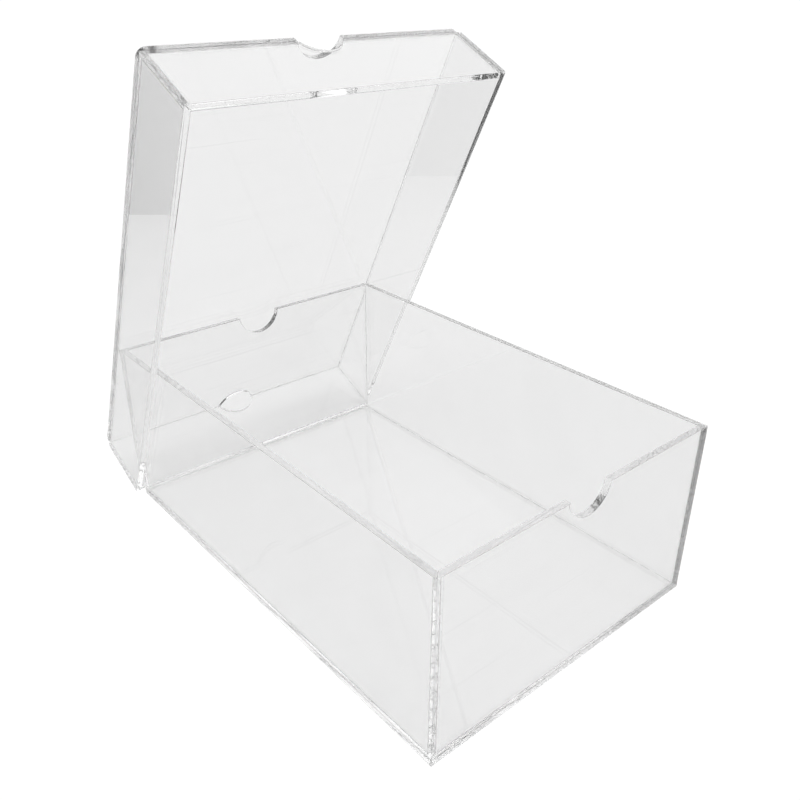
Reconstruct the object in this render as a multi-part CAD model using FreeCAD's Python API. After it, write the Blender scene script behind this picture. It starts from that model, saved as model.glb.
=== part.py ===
"""Clear acrylic shoe box: an open tray of five welded sheets and a separate skirted lid of five.

The tray stands on the ground, centred on the origin, with its long side along Y. The lid is off:
it stands on the lower edge of its rim behind the tray, its open side faces the tray, and its top
panel leans on the rim of the tray's rear wall, which its skirts straddle.
"""
import FreeCAD
import Part
import math
import os

# Driving dimensions, in millimetres.
SHEET = 4.5               # thickness of every acrylic sheet
TRAY_WIDTH = 229.0        # outside, along X
TRAY_LENGTH = 343.0       # outside, along Y
TRAY_HEIGHT = 127.0       # outside, along Z
LID_CLEARANCE = 0.75      # between the tray's walls and the closed lid's skirts, each side
LID_DEPTH = 55.0          # outside, from the lid's rim to its top face
LID_CORNER_RADIUS = 6.0   # rounded corners of the lid's top panel
NOTCH_RADIUS = 17.5       # of every thumb notch
NOTCH_OFFSET = 2.0        # from the edge that a notch is cut in, outwards to its centre
HEEL_GAP = 7.0            # from the tray's rear wall to the standing edge of the lid's rim
CONTACT_GAP = 0.3         # left between the lid's top panel and the rear wall's rim

# Worked out from the above.
LID_WIDTH = TRAY_WIDTH + 2 * (LID_CLEARANCE + SHEET)
LID_LENGTH = TRAY_LENGTH + 2 * (LID_CLEARANCE + SHEET)
LID_REACH = LID_DEPTH - SHEET - CONTACT_GAP
LEAN = math.degrees(
    math.asin(LID_REACH / math.hypot(TRAY_HEIGHT, HEEL_GAP)) + math.atan2(HEEL_GAP, TRAY_HEIGHT)
)

X_AXIS = FreeCAD.Vector(1, 0, 0)
Y_AXIS = FreeCAD.Vector(0, 1, 0)
Z_AXIS = FreeCAD.Vector(0, 0, 1)


def block(x_range, y_range, z_range):
    """A box between two values on each axis."""
    ranges = (x_range, y_range, z_range)
    sizes = [high - low for low, high in ranges]
    return Part.makeBox(*sizes, FreeCAD.Vector(*[low for low, _ in ranges]))


def side_sheet(side, width, length, z_range):
    """A sheet that runs the full length of one long side: side is -1 on the left and 1 on the right."""
    outer = side * width / 2
    inner = outer - side * SHEET
    return block(sorted((inner, outer)), (-length / 2, length / 2), z_range)


def end_sheet(end, width, length, z_range):
    """A sheet across one end, between the side sheets: end is -1 at the front and 1 at the rear."""
    outer = end * length / 2
    inner = outer - end * SHEET
    half = width / 2 - SHEET
    return block((-half, half), sorted((inner, outer)), z_range)


def end_notch(end, length, edge_height):
    """The cutter of an end sheet's notch, a disc whose centre is just above edge_height."""
    start = FreeCAD.Vector(0, end * length / 2 - 2 * SHEET, edge_height + NOTCH_OFFSET)
    return Part.makeCylinder(NOTCH_RADIUS, 4 * SHEET, start, Y_AXIS)


def panel_notch(end):
    """The cutter of the top panel's notch in the middle of one short edge."""
    start = FreeCAD.Vector(0, end * (LID_LENGTH / 2 + NOTCH_OFFSET), LID_DEPTH - 2 * SHEET)
    return Part.makeCylinder(NOTCH_RADIUS, 4 * SHEET, start, Z_AXIS)


def tray_floor():
    """The tray's bottom sheet, which the four walls stand on."""
    half_width = TRAY_WIDTH / 2
    half_length = TRAY_LENGTH / 2
    return block((-half_width, half_width), (-half_length, half_length), (0, SHEET))


def tray_side_wall(side):
    """One of the tray's long walls, full length, plain all round."""
    return side_sheet(side, TRAY_WIDTH, TRAY_LENGTH, (SHEET, TRAY_HEIGHT))


def tray_end_wall(end):
    """One of the tray's short walls, with a thumb notch in the middle of its rim."""
    wall = end_sheet(end, TRAY_WIDTH, TRAY_LENGTH, (SHEET, TRAY_HEIGHT))
    return wall.cut(end_notch(end, TRAY_LENGTH, TRAY_HEIGHT))


def lid_top_panel():
    """The lid's top sheet: full size, rounded corners, a notch in the middle of each short edge."""
    half_width = LID_WIDTH / 2
    half_length = LID_LENGTH / 2
    x_range = (-half_width, half_width)
    panel = block(x_range, (-half_length, half_length), (LID_DEPTH - SHEET, LID_DEPTH))
    upright = [edge for edge in panel.Edges if abs(edge.tangentAt(0).dot(Z_AXIS)) > 0.5]
    panel = panel.makeFillet(LID_CORNER_RADIUS, upright)
    return panel.cut(panel_notch(-1)).cut(panel_notch(1))


def lid_side_skirt(side):
    """One of the lid's long skirts, full length, plain all round."""
    return side_sheet(side, LID_WIDTH, LID_LENGTH, (0, LID_DEPTH - SHEET))


def lid_end_skirt(end):
    """One of the lid's short skirts. Its notch meets the top panel's and makes a finger hole."""
    skirt = end_sheet(end, LID_WIDTH, LID_LENGTH, (0, LID_DEPTH - SHEET))
    return skirt.cut(end_notch(end, LID_LENGTH, LID_DEPTH))


def stand_behind_tray(shape):
    """Moves a lid sheet from its place on the closed box, rim at Z 0, to where the lid stands."""
    turn = FreeCAD.Rotation(X_AXIS, LEAN - 90)
    rim_edge = FreeCAD.Vector(0, LID_LENGTH / 2, 0)
    foot = FreeCAD.Vector(0, TRAY_LENGTH / 2 + HEEL_GAP, 0)
    moved = shape.copy()
    moved.Placement = FreeCAD.Placement(foot - turn.multVec(rim_edge), turn).multiply(moved.Placement)
    return moved


TRAY_SHEETS = {
    "tray_floor": tray_floor(),
    "tray_left_wall": tray_side_wall(-1),
    "tray_right_wall": tray_side_wall(1),
    "tray_front_wall": tray_end_wall(-1),
    "tray_rear_wall": tray_end_wall(1),
}
LID_SHEETS = {
    "lid_top_panel": lid_top_panel(),
    "lid_left_skirt": lid_side_skirt(-1),
    "lid_right_skirt": lid_side_skirt(1),
    "lid_front_skirt": lid_end_skirt(-1),
    "lid_rear_skirt": lid_end_skirt(1),
}

os.makedirs("parts", exist_ok=True)
for name, shape in TRAY_SHEETS.items():
    shape.exportStep(f"parts/{name}.step")
for name, shape in LID_SHEETS.items():
    stand_behind_tray(shape).exportStep(f"parts/{name}.step")
print(f"lid {LID_WIDTH:.2f} x {LID_LENGTH:.2f} x {LID_DEPTH:.2f} mm, leaning {LEAN:.3f} degrees")
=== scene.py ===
"""Clear acrylic shoe box: an open tray, and its skirted lid standing behind it on its rim."""
import math

import bmesh
import bpy
from mathutils import Matrix, Vector


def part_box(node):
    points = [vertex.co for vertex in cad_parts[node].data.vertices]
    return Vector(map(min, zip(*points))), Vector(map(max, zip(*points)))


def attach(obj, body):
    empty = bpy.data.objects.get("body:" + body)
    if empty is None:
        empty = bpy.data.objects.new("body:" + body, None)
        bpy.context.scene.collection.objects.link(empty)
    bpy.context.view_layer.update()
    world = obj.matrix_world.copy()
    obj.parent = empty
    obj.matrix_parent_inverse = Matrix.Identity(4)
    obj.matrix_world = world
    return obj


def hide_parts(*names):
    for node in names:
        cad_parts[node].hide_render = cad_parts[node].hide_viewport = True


MM = 0.001

# The cut sheets.
NOTCH_RADIUS = 17.5 * MM
NOTCH_OFFSET = 2.0 * MM         # from the outer edge outwards to a notch's centre
CORNER_RADIUS = 6.0 * MM        # of the lid's top panel
ROUND = 0.12 * MM               # radius of the corners of a cut edge
ROUND_STEPS = 2
WELD_OVERLAP = 0.02 * MM        # welded edges reach this far into the next sheet
CUT_STEP = 0.8 * MM             # spacing of the points along a cut edge, more than ROUND
FLAT_ROWS = (0.25, 0.5, 0.75)   # rows of points across the flat of a cut edge, in sheet thicknesses
SHARP = math.radians(30)        # edges that turn by more than this are sharp
STRAIGHT_ON = 0.9999            # cosine above which two edges count as one straight line
GENTLE_TURN = 0.9               # cosine above which the cutting marks run on past a point

# The shallow waves that cutting leaves on an edge.
MARK_DEPTH = 0.004 * MM
MARK_PITCH = 5.2 * MM
MARK_SWEEP = 2.2                # how far, in radians, a mark lags at the middle of the sheet
DRIFTS = ((0.9, 23 * MM), (0.5, 7.3 * MM))   # changes in their spacing: radians, distance per radian
CHATTER_SHARE = 0.05            # how much of the depth is fine chatter
CHATTER_RADIAN = 0.61 * MM      # distance per radian of it
CHATTER_LAG = 3.0               # radians across the sheet

# The beads of solvent cement left along the inner seams.
BEAD_RADIUS = 0.55 * MM
BEAD_HOLLOW = 0.3               # how far out the middle of a bead's surface lies, in bead radii
BEAD_STEP = 3.0 * MM
BEAD_UNEVENNESS = 0.15          # of its radius
BEAD_SWELLS = (9 * MM, 4 * MM)  # distances per radian of the two waves that make it uneven
BEAD_END = 1.0 * MM             # from the top of a corner's bead to the edge above it

# The acrylic. A tint is what a ray keeps when it crosses a sheet.
ACRYLIC_IOR = 1.491
CLEAN_TINT = (0.976, 0.976, 0.976)
MARKED_TINT = (0.955, 0.955, 0.955)
CUT_TINT = (0.995, 0.995, 0.995)
CEMENT_TINT = (0.985, 0.985, 0.985)
MILKY_TINT = (0.975, 0.975, 0.975)

# The camera: metres, degrees, and the lens in millimetres.
CAMERA_AT = (-0.3287, -0.3952, 0.3817)
CAMERA_AZIMUTH = 40.49
CAMERA_TILT = -27.44
CAMERA_ROLL = 0.31
CAMERA_LENS = 37.885
CAMERA_NEAR = 0.01

# The studio. Floor and backdrop are white where the camera sees them directly.
SEEN_WHITE = 1.05
FLOOR_COLOUR = (0.88, 0.88, 0.88)
FLOOR_SIZE = 24
FLOOR_DROP = 0.2 * MM         # below the tray's underside
ROOM_BRIGHTNESS = 0.3         # of the room just above the horizon
ROOM_TOP = 12                 # degrees above the horizon where the soft light starts
BACKDROP_BRIGHTNESS = 0.83    # of the white backdrop behind the box, as seen through its sheets
SKY_BRIGHTNESS = 1.13         # of the soft light overhead
SKY_START = 34                # degrees above the horizon where it is at its full strength
CARD_FEET = ((-1.23, 0.37), (-0.30, 1.12))   # of the dark card behind the box
CARD_TOPS = (1.42, 0.25)      # its height at each foot
CARD_SHADE = 0.02

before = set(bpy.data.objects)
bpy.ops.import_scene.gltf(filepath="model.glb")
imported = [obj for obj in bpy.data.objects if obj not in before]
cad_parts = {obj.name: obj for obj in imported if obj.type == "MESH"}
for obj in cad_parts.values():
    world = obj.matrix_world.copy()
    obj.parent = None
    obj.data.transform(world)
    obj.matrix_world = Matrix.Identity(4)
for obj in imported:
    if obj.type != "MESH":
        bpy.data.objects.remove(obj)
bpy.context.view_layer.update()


# ---------------------------------------------------------------- where the CAD holds the sheets

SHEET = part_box("tray_floor")[1].z
TRAY_HALF_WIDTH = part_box("tray_floor")[1].x
TRAY_HALF_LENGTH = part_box("tray_floor")[1].y
TRAY_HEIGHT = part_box("tray_left_wall")[1].z
LID_HALF_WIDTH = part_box("lid_right_skirt")[1].x


def lid_place():
    """(matrix, half length, depth): the matrix carries the lid from the closed way up, rim at Z 0."""
    corners = [v.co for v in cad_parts["lid_left_skirt"].data.vertices]
    foot = min(corners, key=lambda co: co.z)
    head = min(corners, key=lambda co: co.y)
    back = max(corners, key=lambda co: co.y)
    length = (head - foot).yz.length
    forward = (foot - head) / length
    forward.x = 0
    upward = back - foot
    upward.x = 0
    upward.normalize()
    turn = Matrix((Vector((1, 0, 0)), forward, upward)).transposed().to_4x4()
    place = Matrix.Translation((0, foot.y, foot.z)) @ turn @ Matrix.Translation((0, -length / 2, 0))
    return place, length / 2, (back - foot).yz.length + SHEET


LID_PLACE, LID_HALF_LENGTH, LID_DEPTH = lid_place()


# ---------------------------------------------------------------- outlines: (point, the edge after it is cut)

def straight(start, end, cut):
    """Points from start up to, not including, end."""
    start = Vector(start)
    end = Vector(end)
    count = max(1, round((end - start).length / CUT_STEP)) if cut else 1
    return [(start.lerp(end, i / count), cut) for i in range(count)]


def arc(centre, radius, begin, finish):
    """Points round an arc from angle begin up to, not including, finish."""
    count = round(abs(finish - begin) * radius / CUT_STEP)
    angles = [begin + (finish - begin) * i / count for i in range(count)]
    return [(Vector(centre) + radius * Vector((math.cos(a), math.sin(a))), True) for a in angles]


def notched(half, height, centre_height, cut):
    """An upper edge from its right end to its left, with a thumb notch in the middle."""
    drop = centre_height - height
    reach = math.sqrt(NOTCH_RADIUS ** 2 - drop ** 2)
    tip = math.asin(drop / NOTCH_RADIUS)
    return (
        straight((half, height), (reach, height), cut)
        + arc((0, centre_height), NOTCH_RADIUS, -tip, tip - math.pi)
        + straight((-reach, height), (-half, height), cut)
    )


def half_turn(points):
    """The same points on the opposite side of the outline."""
    return [(-at, cut) for at, cut in points]


def floor_outline():
    """The tray's floor: a rectangle with all four edges cut."""
    x, y = TRAY_HALF_WIDTH, TRAY_HALF_LENGTH
    corners = [(-x, -y), (x, -y), (x, y), (-x, y)]
    points = []
    for start, end in zip(corners, corners[1:] + corners[:1]):
        points += straight(start, end, True)
    return points


def side_outline(half, low, high, rim_low):
    """A long wall or skirt: its two ends and its rim are cut edges, the fourth edge is welded."""
    low -= 0 if rim_low else WELD_OVERLAP
    high += WELD_OVERLAP if rim_low else 0
    return (
        straight((-half, low), (half, low), rim_low)
        + straight((half, low), (half, high), True)
        + straight((half, high), (-half, high), not rim_low)
        + straight((-half, high), (-half, low), True)
    )


def end_outline(half, low, high, centre_height, rim_low):
    """A short wall or skirt: welded at both sides and at the edge away from its rim."""
    half += WELD_OVERLAP
    low -= 0 if rim_low else WELD_OVERLAP
    high += WELD_OVERLAP if rim_low else 0
    return (
        straight((-half, low), (half, low), rim_low)
        + straight((half, low), (half, high), False)
        + notched(half, high, centre_height, not rim_low)
        + straight((-half, high), (-half, low), False)
    )


def panel_outline():
    """The lid's top panel: rounded corners and a notch in each short edge."""
    x, y, r = LID_HALF_WIDTH, LID_HALF_LENGTH, CORNER_RADIUS
    quarter = math.pi / 2
    upper = (
        straight((x, 0), (x, y - r), True)
        + arc((x - r, y - r), r, 0, quarter)
        + notched(x - r, y, y + NOTCH_OFFSET, True)
        + arc((r - x, y - r), r, quarter, 2 * quarter)
        + straight((-x, y - r), (-x, 0), True)
    )
    return upper + half_turn(upper)


# ---------------------------------------------------------------- meshes

CUT_MAP = "cut_edge"                   # millimetres along and across a cut edge
FACE, CUT, WELD, DIVIDING = range(4)   # material slots of a sheet; the last only marks faces being divided


def edge_normals(outline):
    """The outward normal of the edge after each point of an outline that runs anticlockwise."""
    found = []
    for (here, _), (there, _) in zip(outline, outline[1:] + outline[:1]):
        along = (there - here).normalized()
        found.append(Vector((along.y, -along.x)))
    return found


def step_in(before, after, inset_before, inset_after):
    """The way in from a corner whose two edges, given by their normals, each move in by their own inset."""
    cosine = before.dot(after)
    if cosine > STRAIGHT_ON:
        return before * inset_before
    share_before = inset_before - cosine * inset_after
    share_after = inset_after - cosine * inset_before
    return (before * share_before + after * share_after) / (1 - cosine ** 2)


def cut_profile():
    """(height, inset) up a cut edge: its corners are rounded, and it is flat between them."""
    angles = [math.pi / 2 * i / ROUND_STEPS for i in range(ROUND_STEPS + 1)]
    corner = [(ROUND * (1 - math.cos(a)), ROUND * (1 - math.sin(a))) for a in angles]
    flat = [(SHEET * row, 0.0) for row in FLAT_ROWS]
    return corner + flat + [(SHEET - height, inset) for height, inset in reversed(corner)]


def mark_depth(along, across):
    """How deep the cutting marks go, at a distance along the edge and from 0 to 1 across it."""
    drift = sum(amount * math.sin(along / radian) for amount, radian in DRIFTS)
    lag = MARK_SWEEP * math.sin(math.pi * across)
    wave = 0.5 - 0.5 * math.cos(2 * math.pi * along / MARK_PITCH + drift - lag)
    chatter = 0.5 + 0.5 * math.sin(along / CHATTER_RADIAN + CHATTER_LAG * across)
    return MARK_DEPTH * ((1 - CHATTER_SHARE) * wave + CHATTER_SHARE * chatter)


def divide_face(mesh, face, place, middle):
    """Makes a weld of a face outside its middle, which holds half a width and perhaps half a length."""
    face.material_index = DIVIDING
    turn = place.to_3x3()
    axes_divided = list(zip((Vector((1, 0, 0)), Vector((0, 1, 0))), middle))
    for axis, half in axes_divided:
        for side in (-1, 1):
            pieces = [piece for piece in mesh.faces if piece.material_index == DIVIDING]
            edges = {edge for piece in pieces for edge in piece.edges}
            points = {point for piece in pieces for point in piece.verts}
            bmesh.ops.bisect_plane(
                mesh,
                geom=pieces + sorted(edges, key=lambda e: e.index) + sorted(points, key=lambda v: v.index),
                plane_co=place @ (axis * side * half),
                plane_no=turn @ axis,
            )
            mesh.edges.index_update()
            mesh.verts.index_update()
    back = place.inverted()
    for piece in mesh.faces:
        if piece.material_index == DIVIDING:
            at = back @ piece.calc_center_median()
            under = any(abs(at.dot(axis)) > half for axis, half in axes_divided)
            piece.material_index = WELD if under else FACE


def sheet_mesh(name, outline, place, welded):
    """A closed sheet: its outline lies in the local XY plane, and its thickness runs along +Z."""
    normals = edge_normals(outline)
    cuts = [cut for _, cut in outline]
    along = [0.0]
    for (here, _), (there, _) in zip(outline, outline[1:]):
        along.append(along[-1] + (there - here).length)
    levels = cut_profile()

    mesh = bmesh.new()
    uv = mesh.loops.layers.uv.new(CUT_MAP)
    rings = []
    for height, inset in levels:
        ring = []
        for i, (at, cut) in enumerate(outline):
            before, after = normals[i - 1], normals[i]
            spot = at - step_in(before, after, inset * cuts[i - 1], inset * cut)
            if cut and cuts[i - 1] and before.dot(after) > GENTLE_TURN:
                spot -= after * mark_depth(along[i], height / SHEET)
            ring.append(mesh.verts.new(place @ Vector((spot.x, spot.y, height))))
        rings.append(ring)
    faces = [mesh.faces.new(ring) for ring in (rings[0], rings[-1])]
    count = len(outline)
    for level, (lower, upper) in enumerate(zip(rings, rings[1:])):
        for i in range(count):
            j = (i + 1) % count
            face = mesh.faces.new((lower[i], lower[j], upper[j], upper[i]))
            face.material_index = CUT if cuts[i] else WELD
            face.smooth = True
            end = along[i] + (outline[j][0] - outline[i][0]).length
            heights = (levels[level][0], levels[level + 1][0])
            corners = [(along[i], heights[0]), (end, heights[0]), (end, heights[1]), (along[i], heights[1])]
            for loop, (u, v) in zip(face.loops, corners):
                loop[uv].uv = (u / MM, v / MM)
    bmesh.ops.recalc_face_normals(mesh, faces=mesh.faces)
    if welded is not None:
        divide_face(mesh, faces[welded[0]], place, welded[1:])
    for edge in mesh.edges:
        on_face = any(not face.smooth for face in edge.link_faces)
        edge.smooth = not on_face and edge.calc_face_angle() < SHARP
    data = bpy.data.meshes.new(name)
    mesh.to_mesh(data)
    mesh.free()
    return data


def add_object(name, data):
    """A new object in the scene, made of this data."""
    made = bpy.data.objects.new(name, data)
    bpy.context.scene.collection.objects.link(made)
    return made


def add_sheet(node_name, body, outline, place, welded=None):
    """Makes the sheet that stands for a CAD node.

    Welded is which face other sheets stand on, 0 or 1, then half the width of its bare middle and, where
    sheets stand along all four edges, half its length.
    """
    piece = add_object(node_name + "_sheet", sheet_mesh(node_name, outline, place, welded))
    for material in (FACE_MATERIAL, CUT_MATERIAL, WELD_MATERIAL):
        piece.data.materials.append(material)
    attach(piece, body)
    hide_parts(node_name)


def axes(across, up, through, origin):
    """The matrix that carries a sheet's local axes to these, from an origin."""
    turn = Matrix((Vector(across), Vector(up), Vector(through))).transposed().to_4x4()
    return Matrix.Translation(origin) @ turn


def side_place(side, half_width):
    """Where a long wall or skirt stands: side is -1 on the left and 1 on the right."""
    low_x = -half_width if side < 0 else half_width - SHEET
    return axes((0, 1, 0), (0, 0, 1), (1, 0, 0), (low_x, 0, 0))


def end_place(end, half_length):
    """Where a short wall or skirt stands: end is -1 at the front and 1 at the rear."""
    high_y = half_length if end > 0 else SHEET - half_length
    return axes((1, 0, 0), (0, 0, 1), (0, -1, 0), (0, high_y, 0))


def add_bead(mesh, start, end, first, second):
    """A bead in the corner between two sheets, whose free sides run along first and second."""
    count = round((end - start).length / BEAD_STEP)
    sunk = -WELD_OVERLAP
    rings = []
    for i in range(count + 1):
        along = i * BEAD_STEP
        swell = math.sin(along / BEAD_SWELLS[0]) * math.sin(along / BEAD_SWELLS[1])
        radius = BEAD_RADIUS * (1 - BEAD_UNEVENNESS + BEAD_UNEVENNESS * swell)
        middle = radius * BEAD_HOLLOW
        section = [(sunk, sunk), (radius, sunk), (middle, middle), (sunk, radius)]
        corner = start.lerp(end, i / count)
        rings.append([mesh.verts.new(corner + first * a + second * b) for a, b in section])
    for lower, upper in zip(rings, rings[1:]):
        for a, b, c, d in zip(lower, lower[1:] + lower[:1], upper[1:] + upper[:1], upper):
            mesh.faces.new((a, b, c, d))
    mesh.faces.new(rings[0])
    mesh.faces.new(rings[-1])


def add_beads(body, place, half_width, half_length, base, top, gap):
    """The beads round the inside of a body: along its base, which faces +Z, and up its four corners.

    Those along the short sides stop short of the notch there, if the gap, half its width, isn't 0.
    """
    mesh = bmesh.new()
    x, y = half_width - SHEET, half_length - SHEET
    up = Vector((0, 0, 1))
    corners = [Vector((-x, -y, base)), Vector((x, -y, base)), Vector((x, y, base)), Vector((-x, y, base))]
    inward = [Vector((0, 1, 0)), Vector((-1, 0, 0)), Vector((0, -1, 0)), Vector((1, 0, 0))]
    for i in range(4):
        start, end = corners[i], corners[(i + 1) % 4]
        share = gap / (end - start).length if i % 2 == 0 else 0
        stops = [0, 0.5 - share, 0.5 + share, 1] if share else [0, 1]
        for near, far in zip(stops[::2], stops[1::2]):
            add_bead(mesh, start.lerp(end, near), start.lerp(end, far), inward[i], up)
        add_bead(mesh, corners[i], corners[i] + up * (top - base), inward[i], inward[i - 1])
    bmesh.ops.recalc_face_normals(mesh, faces=mesh.faces)
    bmesh.ops.transform(mesh, matrix=place, verts=mesh.verts)
    data = bpy.data.meshes.new(body + "_weld_beads")
    mesh.to_mesh(data)
    mesh.free()
    beads = add_object(body + "_weld_beads", data)
    data.materials.append(BEAD_MATERIAL)
    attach(beads, body)


# ---------------------------------------------------------------- materials

def node(tree, kind, **values):
    """A new shader node with some of its inputs set, by their names with _ for a space."""
    made = tree.nodes.new("ShaderNode" + kind)
    for name, value in values.items():
        made.inputs[name.replace("_", " ")].default_value = value
    return made


def noise(tree, coordinates, scale, turn, detail):
    """Noise with a scale of its own along each axis of the turned coordinates."""
    place = node(tree, "Mapping", Scale=scale, Rotation=turn)
    texture = node(tree, "TexNoise", Scale=1.0, Detail=detail, Roughness=0.55)
    tree.links.new(coordinates, place.inputs["Vector"])
    tree.links.new(place.outputs["Vector"], texture.inputs["Vector"])
    return texture.outputs["Fac"]


def remap(tree, value, source, target):
    """Carries a value from one range to another, held inside it."""
    ramp = node(tree, "MapRange", From_Min=source[0], From_Max=source[1], To_Min=target[0], To_Max=target[1])
    tree.links.new(value, ramp.inputs["Value"])
    return ramp.outputs[0]


def combine(tree, operation, first, second, clamp=False):
    """The result of a Math node on two values."""
    made = node(tree, "Math")
    made.operation = operation
    made.use_clamp = clamp
    tree.links.new(first, made.inputs[0])
    tree.links.new(second, made.inputs[1])
    return made.outputs[0]


def larger(tree, first, second):
    """The larger of two values."""
    return combine(tree, "MAXIMUM", first, second)


def blend(tree, share, low, high):
    """A colour between two, by a share."""
    mix = node(tree, "MixRGB")
    mix.inputs[1].default_value = (*low, 1)
    mix.inputs[2].default_value = (*high, 1)
    tree.links.new(share, mix.inputs[0])
    return mix.outputs[0]


def mix_shaders(tree, share, first, second):
    """The first shader, with a share of the second."""
    mix = node(tree, "MixShader")
    tree.links.new(share, mix.inputs[0])
    tree.links.new(first.outputs[0], mix.inputs[1])
    tree.links.new(second.outputs[0], mix.inputs[2])
    return mix


def relief(tree, height, distance):
    """The bump of a height map, by the distance from its lowest to its highest."""
    bump = node(tree, "Bump", Strength=1.0, Distance=distance)
    tree.links.new(height, bump.inputs["Height"])
    return bump.outputs["Normal"]


def acrylic(name):
    """A clear acrylic material: its node tree and its Principled node."""
    material = bpy.data.materials.new(name)
    material.use_nodes = True
    tree = material.node_tree
    shader = tree.nodes["Principled BSDF"]
    shader.inputs["IOR"].default_value = ACRYLIC_IOR
    return material, tree, shader


def polished_face():
    """Glossy sheet: faint wipe marks, a few fine scratches along them, and hardly any tint."""
    material, tree, shader = acrylic("acrylic_polished_face")
    place = node(tree, "TexCoord").outputs["Object"]
    smears = remap(tree, noise(tree, place, (9, 14, 14), (0.3, 0.5, 0.7), 3), (0.5, 0.75), (0, 1))
    wipes = remap(tree, noise(tree, place, (8, 130, 130), (0.2, 0.9, 0.5), 2), (0.55, 0.8), (0, 0.7))
    haze = larger(tree, smears, wipes)
    first = remap(tree, noise(tree, place, (6, 800, 800), (0.5, 0.8, 1.1), 0), (0.78, 0.86), (0, 1))
    second = remap(tree, noise(tree, place, (9, 900, 900), (1.2, 0.3, 0.4), 0), (0.8, 0.88), (0, 1))
    scratches = larger(tree, first, second)
    marks = larger(tree, remap(tree, haze, (0, 1), (0, 0.35)), scratches)
    tree.links.new(blend(tree, marks, CLEAN_TINT, MARKED_TINT), shader.inputs["Base Color"])
    tree.links.new(remap(tree, marks, (0, 1), (0, 0.05)), shader.inputs["Roughness"])
    tree.links.new(remap(tree, marks, (0, 1), (1, 0.97)), shader.inputs["Transmission Weight"])
    tree.links.new(relief(tree, scratches, -0.004 * MM), shader.inputs["Normal"])
    return material


def cut_edge():
    """Clear, glossy cut: fine lines across the sheet, and some slightly milky places."""
    material, tree, shader = acrylic("acrylic_cut_edge")
    along_edge = node(tree, "UVMap")
    along_edge.uv_map = CUT_MAP
    place = along_edge.outputs["UV"]
    lines = remap(tree, noise(tree, place, (2.6, 0.12, 1), (0, 0, 0.04), 2), (0.4, 0.75), (0, 1))
    milk = remap(tree, noise(tree, place, (0.11, 0.45, 1), (0, 0, 0), 3), (0.5, 0.75), (0, 1))
    marks = larger(tree, remap(tree, lines, (0, 1), (0, 0.6)), milk)
    tree.links.new(blend(tree, marks, CUT_TINT, MILKY_TINT), shader.inputs["Base Color"])
    tree.links.new(remap(tree, marks, (0, 1), (0.008, 0.04)), shader.inputs["Roughness"])
    tree.links.new(remap(tree, marks, (0, 1), (1, 0.98)), shader.inputs["Transmission Weight"])
    tree.links.new(relief(tree, lines, -0.0015 * MM), shader.inputs["Normal"])
    return material


def weld():
    """Two sheets that have run together: nothing to see but the small bubbles left in the joint."""
    material, tree, shader = acrylic("acrylic_weld")
    place = node(tree, "TexCoord").outputs["Object"]
    bubbles = remap(tree, noise(tree, place, (700, 700, 700), (0, 0, 0), 1), (0.66, 0.7), (0, 1))
    tree.links.new(blend(tree, bubbles, CUT_TINT, MILKY_TINT), shader.inputs["Base Color"])
    tree.links.new(remap(tree, bubbles, (0, 1), (0, 0.04)), shader.inputs["Roughness"])
    shader.inputs["Transmission Weight"].default_value = 1.0
    mix = mix_shaders(tree, bubbles, node(tree, "BsdfTransparent"), shader)
    tree.links.new(mix.outputs[0], tree.nodes["Material Output"].inputs["Surface"])
    return material


def cement_bead():
    """Dried solvent cement: whitish, clearer in places, with a fine grain."""
    material, tree, shader = acrylic("acrylic_cement_bead")
    place = node(tree, "TexCoord").outputs["Object"]
    clearer = remap(tree, noise(tree, place, (60, 60, 60), (0, 0, 0), 2), (0.35, 0.65), (0, 1))
    grain = noise(tree, place, (2000, 2000, 2000), (0, 0, 0), 1)
    tree.links.new(blend(tree, clearer, CEMENT_TINT, CUT_TINT), shader.inputs["Base Color"])
    tree.links.new(remap(tree, clearer, (0, 1), (0.35, 0.15)), shader.inputs["Roughness"])
    tree.links.new(remap(tree, clearer, (0, 1), (0.25, 0.6)), shader.inputs["Transmission Weight"])
    tree.links.new(relief(tree, grain, 0.01 * MM), shader.inputs["Normal"])
    return material


FACE_MATERIAL = polished_face()
CUT_MATERIAL = cut_edge()
WELD_MATERIAL = weld()
BEAD_MATERIAL = cement_bead()


# ---------------------------------------------------------------- the box

def build_tray():
    """The tray's floor and four walls."""
    inner_width, inner_length = TRAY_HALF_WIDTH - SHEET, TRAY_HALF_LENGTH - SHEET
    add_sheet("tray_floor", "tray", floor_outline(), Matrix(), (1, inner_width, inner_length))
    side = side_outline(TRAY_HALF_LENGTH, SHEET, TRAY_HEIGHT, False)
    end = end_outline(TRAY_HALF_WIDTH - SHEET, SHEET, TRAY_HEIGHT, TRAY_HEIGHT + NOTCH_OFFSET, False)
    add_sheet("tray_left_wall", "tray", side, side_place(-1, TRAY_HALF_WIDTH), (1, inner_length))
    add_sheet("tray_right_wall", "tray", side, side_place(1, TRAY_HALF_WIDTH), (0, inner_length))
    add_sheet("tray_front_wall", "tray", end, end_place(-1, TRAY_HALF_LENGTH))
    add_sheet("tray_rear_wall", "tray", end, end_place(1, TRAY_HALF_LENGTH))
    add_beads("tray", Matrix(), TRAY_HALF_WIDTH, TRAY_HALF_LENGTH, SHEET, TRAY_HEIGHT - BEAD_END, 0)


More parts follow.
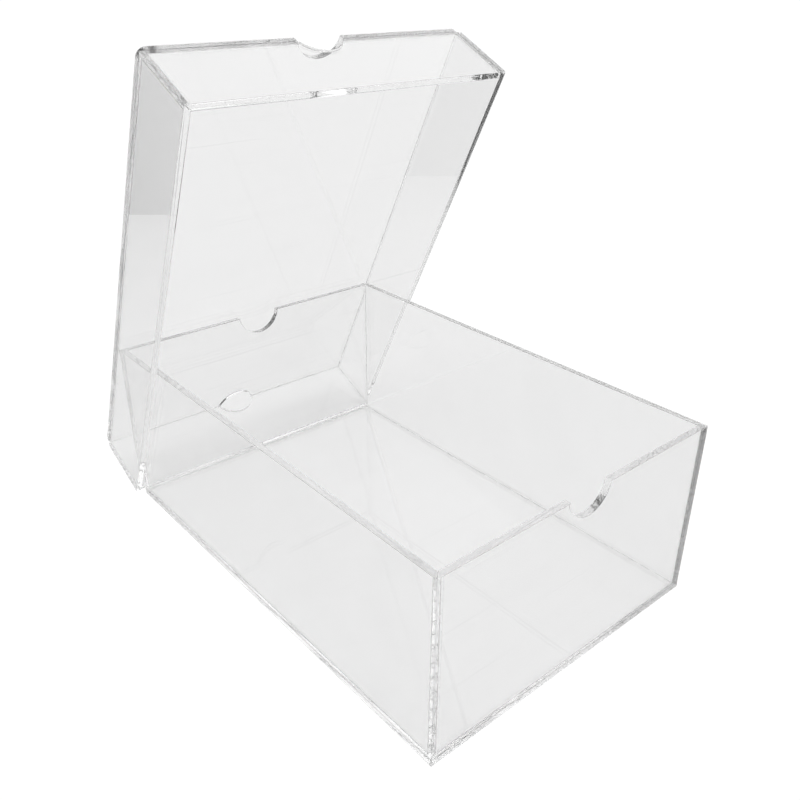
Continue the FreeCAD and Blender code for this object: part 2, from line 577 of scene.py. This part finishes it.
def build_lid():
    """The lid's top panel and four skirts, standing behind the tray."""
    panel_at = LID_DEPTH - SHEET
    inner_width, inner_length = LID_HALF_WIDTH - SHEET, LID_HALF_LENGTH - SHEET
    panel_place = LID_PLACE @ Matrix.Translation((0, 0, panel_at))
    add_sheet("lid_top_panel", "lid", panel_outline(), panel_place, (0, inner_width, inner_length))
    side = side_outline(LID_HALF_LENGTH, 0, panel_at, True)
    end = end_outline(LID_HALF_WIDTH - SHEET, 0, panel_at, LID_DEPTH + NOTCH_OFFSET, True)
    add_sheet("lid_left_skirt", "lid", side, LID_PLACE @ side_place(-1, LID_HALF_WIDTH), (1, inner_length))
    add_sheet("lid_right_skirt", "lid", side, LID_PLACE @ side_place(1, LID_HALF_WIDTH), (0, inner_length))
    add_sheet("lid_front_skirt", "lid", end, LID_PLACE @ end_place(-1, LID_HALF_LENGTH))
    add_sheet("lid_rear_skirt", "lid", end, LID_PLACE @ end_place(1, LID_HALF_LENGTH))
    upside_down = LID_PLACE @ Matrix.Rotation(math.pi, 4, "Y") @ Matrix.Translation((0, 0, -panel_at))
    gap = math.sqrt(NOTCH_RADIUS ** 2 - (SHEET + NOTCH_OFFSET) ** 2)
    add_beads("lid", upside_down, LID_HALF_WIDTH, LID_HALF_LENGTH, 0, panel_at - BEAD_END, gap)


# ---------------------------------------------------------------- studio and camera

def seen_directly(tree):
    """1 for a ray straight from the camera, 0 for the others."""
    return node(tree, "LightPath").outputs["Is Camera Ray"]


def seen_straight_through(tree):
    """1 for a ray that has come through the sheets without a reflection on its way, 0 for the others."""
    path = node(tree, "LightPath").outputs
    turned = combine(tree, "ADD", path["Glossy Depth"], path["Diffuse Depth"], clamp=True)
    return combine(tree, "SUBTRACT", path["Is Transmission Ray"], turned, clamp=True)


def seen_in_reflection(tree):
    """1 or more for a ray that has been reflected, 0 for the others."""
    return node(tree, "LightPath").outputs["Glossy Depth"]


def studio_material(name):
    """An empty material for the studio, and its node tree."""
    material = bpy.data.materials.new(name)
    material.use_nodes = True
    material.node_tree.nodes.clear()
    return material, material.node_tree


def build_floor():
    """A plain white floor, just under the tray."""
    bpy.ops.mesh.primitive_plane_add(size=FLOOR_SIZE, location=(0, 0, -FLOOR_DROP))
    floor = bpy.context.object
    floor.name = "studio_floor"
    material, tree = studio_material("studio_floor")
    matt = node(tree, "BsdfDiffuse", Color=(*FLOOR_COLOUR, 1))
    white = node(tree, "Emission", Strength=SEEN_WHITE)
    shown = mix_shaders(tree, seen_directly(tree), matt, white)
    tree.links.new(shown.outputs[0], node(tree, "OutputMaterial").inputs["Surface"])
    floor.data.materials.append(material)


def build_world():
    """Soft light from above and a darker room round it, with a pale backdrop behind the sheets."""
    world = bpy.data.worlds.new("studio")
    world.use_nodes = True
    bpy.context.scene.world = world
    tree = world.node_tree
    sky = tree.nodes["Background"]
    sky.inputs["Color"].default_value = (1, 1, 1, 1)
    split = node(tree, "SeparateXYZ")
    tree.links.new(node(tree, "TexCoord").outputs["Generated"], split.inputs[0])
    heights = [math.sin(math.radians(angle)) for angle in (ROOM_TOP, SKY_START)]
    rise = remap(tree, split.outputs["Z"], heights, (ROOM_BRIGHTNESS, SKY_BRIGHTNESS))
    tree.links.new(rise, sky.inputs["Strength"])
    backdrop = node(tree, "Background", Color=(1, 1, 1, 1), Strength=BACKDROP_BRIGHTNESS)
    white = node(tree, "Background", Color=(1, 1, 1, 1), Strength=SEEN_WHITE)
    lighting = mix_shaders(tree, seen_straight_through(tree), sky, backdrop)
    shown = mix_shaders(tree, seen_directly(tree), lighting, white)
    tree.links.new(shown.outputs[0], tree.nodes["World Output"].inputs["Surface"])


def build_card():
    """A dark card beyond the box that shows only in reflections, and gives the clear sheets a tone."""
    feet = [(x, y, 0) for x, y in CARD_FEET]
    tops = [(x, y, top) for (x, y), top in zip(CARD_FEET, CARD_TOPS)]
    data = bpy.data.meshes.new("studio_card")
    data.from_pydata(feet + tops, [], [(0, 1, 3, 2)])
    card = add_object("studio_card", data)
    material, tree = studio_material("studio_card")
    dark = node(tree, "BsdfDiffuse", Color=(CARD_SHADE, CARD_SHADE, CARD_SHADE, 1))
    shown = mix_shaders(tree, seen_in_reflection(tree), node(tree, "BsdfTransparent"), dark)
    tree.links.new(shown.outputs[0], node(tree, "OutputMaterial").inputs["Surface"])
    card.data.materials.append(material)
    card.visible_camera = False


def build_camera():
    """The camera, from its place, its heading clockwise from +Y, its tilt and its roll."""
    data = bpy.data.cameras.new("camera")
    data.lens = CAMERA_LENS
    data.clip_start = CAMERA_NEAR
    camera = add_object("camera", data)
    camera.matrix_world = (
        Matrix.Translation(CAMERA_AT)
        @ Matrix.Rotation(-math.radians(CAMERA_AZIMUTH), 4, "Z")
        @ Matrix.Rotation(math.radians(90 + CAMERA_TILT), 4, "X")
        @ Matrix.Rotation(math.radians(CAMERA_ROLL), 4, "Z")
    )
    bpy.context.scene.camera = camera


def set_light_paths():
    """Enough bounces for light to cross every sheet and to run along inside them."""
    cycles = bpy.context.scene.cycles
    cycles.max_bounces = 250
    cycles.transmission_bounces = 250
    cycles.glossy_bounces = 60
    cycles.diffuse_bounces = 4
    cycles.transparent_max_bounces = 64
    cycles.blur_glossy = 0
    bpy.context.scene.view_settings.view_transform = "Standard"


build_tray()
build_lid()
build_floor()
build_world()
build_card()
build_camera()
set_light_paths()
